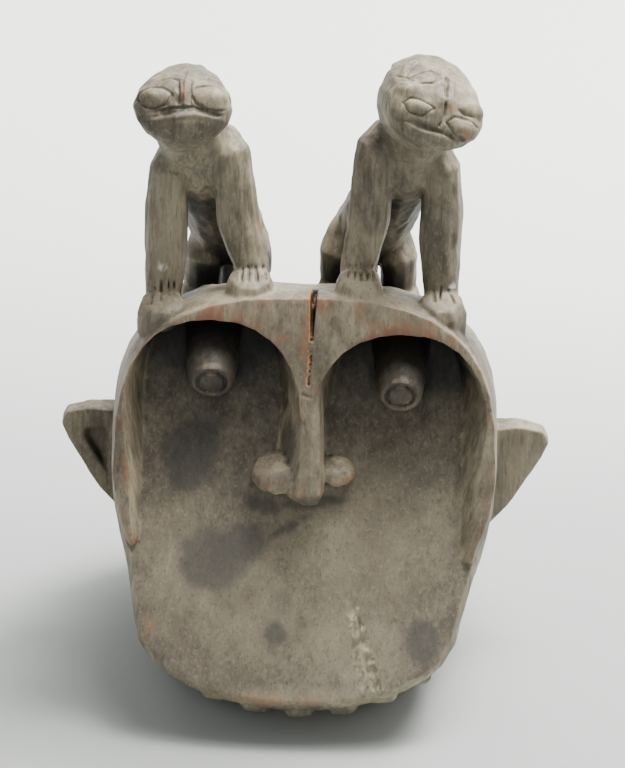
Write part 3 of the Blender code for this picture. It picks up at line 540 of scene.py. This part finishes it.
counts = [triangle_count(mask)]
behind = (clay.points[:, 1] > BEHIND_FROM_Y) & (clay.points[:, 2] < BEHIND_TOP)
behind = behind & (clay.points[:, 2] > RIM_KEPT)
thin_out(mask, behind, BEHIND_SHARE)
counts.append(triangle_count(mask))
if counts[-1] > TRIANGLE_BUDGET:
    thin = mask.modifiers.new("thin", "DECIMATE")
    thin.ratio = TRIANGLE_BUDGET / counts[-1]
    bpy.ops.object.modifier_apply(modifier="thin")
counts.append(triangle_count(mask))
points, edges = read_points(mask.data), read_edges(mask.data)
toward_face = read_facing(mask.data) @ FACE_NORMAL
flat_part = ease(toward_face, 0.95, 0.99) * (points[:, 2] < FACE_TOP)
points = even_out(points, edges, 0.8 * average(flat_part, edges, len(points))[:, None], 3)
inner_plate = np.hypot(points[:, 0] / PLATE_HALF_WIDTH,
                       (points[:, 2] - PLATE_MIDDLE) / PLATE_HALF_HEIGHT)
inner_plate = (1.0 - ease(inner_plate, 0.85, 1.0)) * (toward_face > 0.5)
for turn in range(12):
    step = (average(points, edges, len(points)) - points) @ FACE_NORMAL
    points = points + (0.8 * inner_plate * step)[:, None] * FACE_NORMAL
write_points(mask.data, np.clip(points, bounds_at_start[0], bounds_at_start[1]))
print("triangles step by step:", counts)

# %% [markdown]
# ## Marks that the wood's colour follows
#
# Each point of the finished skin gets a few values between 0 and 1: how worn it is, how deep it
# lies, how much painted shade it gets from wood nearby that closes it off, how stained it is (with
# a painted shadow under the nose), how much painted shadow it gets under the brows, the lip and
# between the legs, how red it is, how pale it is (pale rubbed wood, and painted highlight on the
# top-lit brows, pads and nose), whether it is on an animal, on the lower face, on the brow's rim
# or on the crack's wall that faces the lamps, where fresh wood is painted lit, and where the wood
# is chipped. The wood's material reads them by name.

# %% Colour marks
mesh = mask.data
points = read_points(mesh)
edges = read_edges(mesh)
facing = read_facing(mesh)
bend = np.einsum("ij,ij->i", facing, points - average(points, edges, len(points)))
length = np.linalg.norm(points[edges[:, 0]] - points[edges[:, 1]], axis=1).mean()
bend = bend / length
for turn in range(2):
    bend = 0.5 * bend + 0.5 * average(bend, edges, len(points))
worn = ease(bend, 0.04, 0.16)
deep = ease(-bend, 0.03, 0.16)
seen_from = (points - np.array(camera_place)) @ np.array(camera_turn)
across = PICTURE_WIDTH / 2 - seen_from[:, 0] / seen_from[:, 2] * FOCAL_PIXELS
down = PICTURE_HEIGHT / 2 + seen_from[:, 1] / seen_from[:, 2] * FOCAL_PIXELS
toward = facing @ np.array(away)
front = ease(toward, 0.02, 0.25) * ease(-points[:, 1], -0.09, -0.04)


def shelter(points, facing, chosen, rays, reach):
    """How much of the space around each chosen point is closed off by wood nearby, 0 to 1."""
    mesh.calc_loop_triangles()
    corners = np.empty(len(mesh.loop_triangles) * 3, np.int32)
    mesh.loop_triangles.foreach_get("vertices", corners)
    tree = BVHTree.FromPolygons(points.tolist(), corners.reshape(-1, 3).tolist(),
                                all_triangles=True)
    spins = np.random.default_rng(8).normal(size=(rays, 3))
    spins /= np.linalg.norm(spins, axis=1)[:, None]
    closed = np.zeros(len(points))
    for index in np.nonzero(chosen)[0]:
        start = Vector(points[index] + facing[index] * 0.0012)
        for spin in spins + facing[index] * 1.05:
            hit = tree.ray_cast(start, Vector(spin), reach)
            if hit[0] is not None:
                closed[index] += 1.0 - 0.6 * hit[3] / reach
    return closed / rays


# Painted shade: how closed off each front point is by wood nearby, from rays; the material turns
# it towards near black in the hollows, under the brows and between parts.
front_side = ease(-points[:, 1] + 0.25 * points[:, 2], -0.06, -0.04)
painted_occlusion_shade = shelter(points, facing, (points[:, 2] > 0.004) & (front_side > 0.0),
                 12, 0.09)
for turn in range(3):
    painted_occlusion_shade = 0.4 * painted_occlusion_shade + 0.6 * average(painted_occlusion_shade, edges, len(points))


def patch(middle_x, middle_y, wide, high, tilt=0.0, soft=0.35):
    """A soft egg-shaped patch in the picture, as a value for every point that faces it."""
    x, y = across - middle_x, down - middle_y
    u = (x * math.cos(tilt) + y * math.sin(tilt)) / wide
    v = (-x * math.sin(tilt) + y * math.cos(tilt)) / high
    ragged = 0.16 * cloud(points, (0.007, 0.007, 0.009), 21)
    return front * (1.0 - ease(np.hypot(u, v) + ragged, 1.0 - soft, 1.0 + soft))


def store(name, values):
    layer = mesh.attributes.new(name, "FLOAT", "POINT")
    layer.data.foreach_set("value", np.clip(values, 0.0, 1.0).astype(np.float32))
    print(name, "mean %.3f" % float(values.mean()))


face_share = ease(facing @ FACE_NORMAL, 0.90, 0.98) * ease(FACE_TOP - points[:, 2], 0.0, 0.02)
# Less of that painted shade on the lower face plate below the eyes.
painted_occlusion_shade = painted_occlusion_shade * (1.0 - 0.70 * face_share * ease(down, 380, 440))
stain_and_shadow = np.zeros(len(points))
# Dark stains, and one painted shadow: the thin spot at (310, 503) under the nose.
for spot in ((191, 447, 30, 38, 0.3), (188, 470, 20, 22, 0.0), (205, 425, 16, 16, 0.0),
             (213, 558, 34, 32, 0.0), (240, 545, 28, 20, -0.4), (282, 531, 34, 4, -0.5),
             (422, 643, 17, 24, 0.0), (275, 634, 11, 12, 0.0), (310, 503, 34, 6, -0.1),
             (289, 440, 8, 20, 0.0), (262, 505, 20, 8, 0.2)):
    stain_and_shadow = np.maximum(stain_and_shadow, patch(*spot, soft=0.24))
red = np.zeros(len(points))
for spot in ((221, 314, 20, 7, 0.05), (270, 334, 26, 8, 0.5), (142, 338, 12, 16, -0.7),
             (452, 352, 44, 12, 0.45), (400, 332, 50, 10, 0.1), (125, 500, 5, 36, 0.0),
             (484, 514, 5, 14, 0.1), (153, 243, 6, 30, 0.0), (184, 91, 3, 8, 0.0),
             (275, 701, 60, 5, 0.05), (306, 335, 5, 40, 0.12), (146, 628, 8, 12, 0.6),
             (450, 112, 4, 8, 0.0), (258, 230, 3, 10, 0.0), (470, 135, 12, 5, 0.5)):
    red = np.maximum(red, patch(*spot, soft=0.6))
pale_and_highlight = np.zeros(len(points))
# Pale rubbed wood on the lower face and the dome, and painted highlight on the top-lit muzzle
# pads, brow tops, nose ridge and the top of the left nose wing.
for spot in ((213, 99, 17, 9, 0.2), (467, 93, 12, 14, 0.3), (467, 126, 13, 8, 0.3),
             (419, 104, 12, 6, 0.3), (350, 545, 90, 70, 0.0), (240, 600, 60, 60, 0.0),
             (180, 560, 40, 60, 0.0), (310, 430, 12, 40, 0.0), (273, 470, 12, 8, 0.0),
             (170, 230, 16, 50, 0.0), (470, 215, 9, 70, 0.0), (350, 640, 60, 40, 0.0),
             (225, 302, 80, 18, 0.0), (395, 305, 88, 22, 0.1), (516, 460, 30, 40, 0.0),
             (310, 696, 120, 9, 0.0), (306, 420, 14, 60, 0.0)):
    pale_and_highlight = np.maximum(pale_and_highlight, patch(*spot, soft=0.8))
# Painted shadow: the tops of the eye tubes under the brows, and under the lip and the teeth.
painted_shadow = np.maximum(patch(212, 376, 44, 34, 0.0, 0.5), patch(398, 376, 44, 34, 0.0, 0.5))
painted_shadow = np.maximum(painted_shadow, 0.75 * patch(300, 715, 90, 9, 0.0, 0.4)) * (1.0 - face_share)
# Painted shadow between the forelegs, on the body behind the legs.
behind_legs = points[:, 1] > -0.027
shade = np.maximum(patch(203, 197, 18, 26, 0.0, 0.5), patch(411, 203, 18, 34, 0.0, 0.5))
painted_shadow = np.maximum(painted_shadow, shade * behind_legs)
# Painted shadow of the brows on the tops of the two recesses.
BROW_EDGE_Y, BROW_LEAN, BROW_TOP = -0.070, 0.27, 0.315
recess = points[:, 1] > BROW_EDGE_Y - BROW_LEAN * (BROW_TOP - points[:, 2])
tops = np.maximum(patch(216, 338, 74, 30, -0.1, 0.5), patch(416, 350, 68, 34, 0.2, 0.5))
painted_shadow = np.maximum(painted_shadow, 1.3 * tops * recess)
rim = worn.copy()
for turn in range(2):
    rim = 0.4 * rim + 0.6 * average(rim, edges, len(points))
on_brow = ease(-points[:, 1], 0.050, 0.062) * (1.0 - on_animal(points)) * (points[:, 2] < 0.335)
rim = np.clip(4.0 * rim, 0.0, 1.0) * on_brow * ease(points[:, 2], 0.12, 0.14)
chip = np.zeros(len(points))
for spot in ((163, 268, 4.5, 2.5), (183, 554, 1.2, 1.2), (452, 287, 4, 1.5)):
    chip = np.maximum(chip, patch(*spot))
# Fresh wood in the crack, painted only on the wall that faces the lamps on the right, so it is
# partly painted light; painted shade takes it away deeper in the crack.
CRACK_X, CRACK_REACH, CRACK_FOOT, CRACK_BACK_Y = 0.002, 0.007, 0.262, -0.040
lit_crack_wall = ease(facing[:, 0], 0.3, 0.6) * (np.abs(points[:, 0] - CRACK_X) < CRACK_REACH)
lit_crack_wall = lit_crack_wall * (points[:, 2] > CRACK_FOOT) * (points[:, 1] < CRACK_BACK_Y)
store("worn", worn)
store("painted_shadow", painted_shadow)
store("fresh_wood_lit_wall", lit_crack_wall * (1.0 - 0.75 * ease(painted_occlusion_shade, 0.55, 0.85)))
store("animal", on_animal(points))
store("plate", face_share)
store("rim", rim)
store("chip", chip)
store("deep", deep)
store("painted_occlusion_shade", painted_occlusion_shade)
store("stain_and_shadow", stain_and_shadow)
store("red", red)
store("pale_and_highlight", pale_and_highlight * (0.7 + 0.3 * cloud(points, (0.012, 0.012, 0.02), 31)))
mesh.shade_smooth()

# %% [markdown]
# ## Old wood
#
# A grey-brown patina with paler rubbed wood, a grain that runs up and down, dark stains, and
# reddish wood where edges are worn. Painted shade goes near black in hollows, under the brows
# and between the legs, and painted highlights lighten the top-lit brows, pads and nose.

# %% Wood material
def new_material(name):
    material = bpy.data.materials.new(name)
    material.use_nodes = True
    return material, material.node_tree.nodes, material.node_tree.links


wood, nodes, links = new_material("aged_wood")
shader = nodes["Principled BSDF"]
position = nodes.new("ShaderNodeTexCoord")


def noise(scale, detail, stretch=(1.0, 1.0, 1.0), rough=0.55, warp=0.0):
    """Random values that change over the object, drawn out where stretch is small."""
    mapping = nodes.new("ShaderNodeMapping")
    mapping.inputs["Scale"].default_value = stretch
    links.new(position.outputs["Object"], mapping.inputs["Vector"])
    texture = nodes.new("ShaderNodeTexNoise")
    texture.inputs["Scale"].default_value = scale
    texture.inputs["Detail"].default_value = detail
    texture.inputs["Roughness"].default_value = rough
    texture.inputs["Distortion"].default_value = warp
    links.new(mapping.outputs["Vector"], texture.inputs["Vector"])
    return texture.outputs["Fac"]


def spread(value, low, high, to_low=0.0, to_high=1.0):
    """Stretch a range of values over another one."""
    node = nodes.new("ShaderNodeMapRange")
    node.inputs["From Min"].default_value = low
    node.inputs["From Max"].default_value = high
    node.inputs["To Min"].default_value = to_low
    node.inputs["To Max"].default_value = to_high
    links.new(value, node.inputs["Value"])
    return node.outputs["Result"]


def times(one, two):
    node = nodes.new("ShaderNodeMath")
    node.operation = "MULTIPLY"
    for socket, value in zip(node.inputs, (one, two)):
        if isinstance(value, float):
            socket.default_value = value
        else:
            links.new(value, socket)
    return node.outputs["Value"]


def mixed(share, one, two, way="MIX"):
    """One colour, going over to another by a share."""
    node = nodes.new("ShaderNodeMix")
    node.data_type = "RGBA"
    node.blend_type = way
    if isinstance(share, float):
        node.inputs["Factor"].default_value = share
    else:
        links.new(share, node.inputs["Factor"])
    for socket, value in ((node.inputs[6], one), (node.inputs[7], two)):
        if isinstance(value, tuple):
            socket.default_value = (*value, 1.0)
        else:
            links.new(value, socket)
    return node.outputs[2]


def mark(name):
    node = nodes.new("ShaderNodeAttribute")
    node.attribute_name = name
    return node.outputs["Fac"]


DARK_PATINA = (0.042, 0.034, 0.025)
MIDDLE_WOOD = (0.155, 0.122, 0.080)
PALE_WOOD_AND_HIGHLIGHT = (0.350, 0.298, 0.200)
RED_WOOD = (0.290, 0.145, 0.070)
RIM_WOOD = (0.200, 0.076, 0.035)
CHIP_COLOUR = (0.62, 0.60, 0.54)
FRESH_WOOD = (0.50, 0.22, 0.085)
STAIN_AND_SHADOW_COLOUR = (0.045, 0.041, 0.036)
# Near black, used for painted shade and painted shadow.
SHADE_BLACK = (0.006, 0.0055, 0.005)
grain = noise(240.0, 5.0, (1.0, 1.0, 0.12), 0.62, 0.4)
clouds = noise(16.0, 6.0, (1.0, 1.0, 0.6), 0.62, 0.3)
mottle = noise(75.0, 4.0, (1.0, 1.0, 0.5), 0.6, 0.5)
speckle = noise(420.0, 3.0, (1.0, 1.0, 0.6), 0.7)
pores = noise(620.0, 2.0, (1.0, 1.0, 0.08), 0.5)
colour = mixed(spread(clouds, 0.36, 0.66), MIDDLE_WOOD, PALE_WOOD_AND_HIGHLIGHT)
colour = mixed(times(spread(mottle, 0.42, 0.64), 0.58), colour, DARK_PATINA)
colour = mixed(times(spread(grain, 0.45, 0.70), 0.60), colour, DARK_PATINA)
colour = mixed(times(mark("animal"), 0.20), colour, DARK_PATINA)
colour = mixed(times(mark("plate"), 0.58), colour, DARK_PATINA)
# Pale rubbed wood and painted highlight.
colour = mixed(times(mark("pale_and_highlight"), 0.46), colour, PALE_WOOD_AND_HIGHLIGHT)
colour = mixed(times(spread(speckle, 0.54, 0.70), 0.34), colour, PALE_WOOD_AND_HIGHLIGHT)
colour = mixed(times(spread(pores, 0.56, 0.72), 0.5), colour, DARK_PATINA)
colour = mixed(times(mark("worn"), 0.55), colour, PALE_WOOD_AND_HIGHLIGHT)
colour = mixed(times(mark("deep"), 0.90), colour, DARK_PATINA)
colour = mixed(times(times(mark("red"), spread(mottle, 0.44, 0.58)), 0.55), colour, RED_WOOD)
broken_rim = times(mark("rim"), spread(mottle, 0.36, 0.50, 0.25, 1.0))
colour = mixed(times(broken_rim, 0.85), colour, RIM_WOOD)
# Dark stains, with the painted shadow under the nose.
colour = mixed(times(mark("stain_and_shadow"), 0.70), colour, STAIN_AND_SHADOW_COLOUR)
# Painted shadow, towards near black.
colour = mixed(times(mark("painted_shadow"), 0.80), colour, SHADE_BLACK)
# Painted shade: near black where wood nearby closes the point off.
colour = mixed(spread(mark("painted_occlusion_shade"), 0.22, 0.60, 0.0, 1.0), colour, SHADE_BLACK)
# Fresh wood on the crack's lit wall: real colour with painted light.
colour = mixed(mark("fresh_wood_lit_wall"), colour, FRESH_WOOD)
colour = mixed(mark("chip"), colour, CHIP_COLOUR)
links.new(colour, shader.inputs["Base Color"])
links.new(spread(grain, 0.3, 0.7, 0.50, 0.72), shader.inputs["Roughness"])
bump = nodes.new("ShaderNodeBump")
bump.inputs["Strength"].default_value = 0.55
bump.inputs["Distance"].default_value = 0.0007
height = mixed(0.5, grain, mottle)
links.new(height, bump.inputs["Height"])
links.new(bump.outputs["Normal"], shader.inputs["Normal"])
mesh.materials.clear()
mesh.materials.append(wood)
print("wood material has", len(nodes), "nodes")

# %% [markdown]
# ## The studio
#
# A floor that curves up into a backdrop, its paper painted darker near the mask as painted shade
# and pale further back, and soft light from above, a little from behind and from the right.

# %% Floor and backdrop
SWEEP_FRONT, SWEEP_BACK, SWEEP_TOP, SWEEP_ROUND, SWEEP_HALF_WIDTH = -2.2, 1.6, 3.2, 0.9, 3.2
profile = [(SWEEP_FRONT, 0.0), (SWEEP_BACK - SWEEP_ROUND, 0.0)]
for step in range(1, 17):
    turn = math.pi / 2 * step / 16
    profile.append((SWEEP_BACK - SWEEP_ROUND + SWEEP_ROUND * math.sin(turn),
                    SWEEP_ROUND * (1.0 - math.cos(turn))))
profile.append((SWEEP_BACK, SWEEP_TOP))
sweep_mesh = bpy.data.meshes.new("sweep")
corners = [(side * SWEEP_HALF_WIDTH, y, z - 0.0005) for y, z in profile for side in (-1, 1)]
sweep_mesh.from_pydata(corners, [], [(2 * i, 2 * i + 1, 2 * i + 3, 2 * i + 2)
                                     for i in range(len(profile) - 1)])
sweep_mesh.shade_smooth()
sweep = bpy.data.objects.new("sweep", sweep_mesh)
bpy.context.scene.collection.objects.link(sweep)
paper, nodes, links = new_material("backdrop_paper")
position = nodes.new("ShaderNodeTexCoord")
parts = nodes.new("ShaderNodeSeparateXYZ")
links.new(position.outputs["Object"], parts.inputs["Vector"])
# Painted shade on the paper: dark near the mask, pale far back, as the light falls off.
NEAR_PAPER, FAR_PAPER = (0.39, 0.41, 0.40), (0.90, 0.91, 0.89)
run = spread(parts.outputs["Y"], 0.05, 1.15)
run.node.interpolation_type = "SMOOTHSTEP"
tint = mixed(run, NEAR_PAPER, FAR_PAPER)
links.new(tint, nodes["Principled BSDF"].inputs["Base Color"])
nodes["Principled BSDF"].inputs["Roughness"].default_value = 0.9
sweep_mesh.materials.append(paper)


def soft_light(name, place, aim, size, watts, colour):
    data = bpy.data.lights.new(name, "AREA")
    data.shape = "RECTANGLE"
    data.size, data.size_y = size
    data.energy = watts
    data.color = colour
    lamp = bpy.data.objects.new(name, data)
    lamp.matrix_world = Matrix.Translation(place) @ (
        Vector(aim) - Vector(place)).to_track_quat("-Z", "Y").to_matrix().to_4x4()
    bpy.context.scene.collection.objects.link(lamp)
    return lamp


soft_light("above", (0.38, 0.05, 1.9), (0.0, 0.0, 0.25), (1.3, 1.0), 48.0, (1.0, 0.99, 0.96))
soft_light("right", (1.9, -0.5, 1.0), (0.0, 0.0, 0.25), (0.9, 1.3), 8.0, (1.0, 0.97, 0.92))
soft_light("left", (-1.9, -0.6, 1.0), (0.0, 0.0, 0.25), (0.9, 1.3), 7.0, (0.88, 0.95, 1.0))
soft_light("front", (0.0, -2.8, 1.5), (0.0, 0.0, 0.2), (1.4, 0.9), 12.0, (1.0, 1.0, 1.0))
soft_light("wash", (1.2, 0.75, 2.6), (0.4, 1.6, 0.7), (2.4, 0.8), 220.0, (1.0, 1.0, 0.98))
world = bpy.data.worlds.new("studio")
world.use_nodes = True
world.node_tree.nodes["Background"].inputs["Color"].default_value = (0.90, 0.93, 0.92, 1.0)
world.node_tree.nodes["Background"].inputs["Strength"].default_value = 0.28
bpy.context.scene.world = world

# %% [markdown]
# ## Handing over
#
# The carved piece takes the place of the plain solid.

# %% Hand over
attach(mask, "root")
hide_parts("helmet_mask")
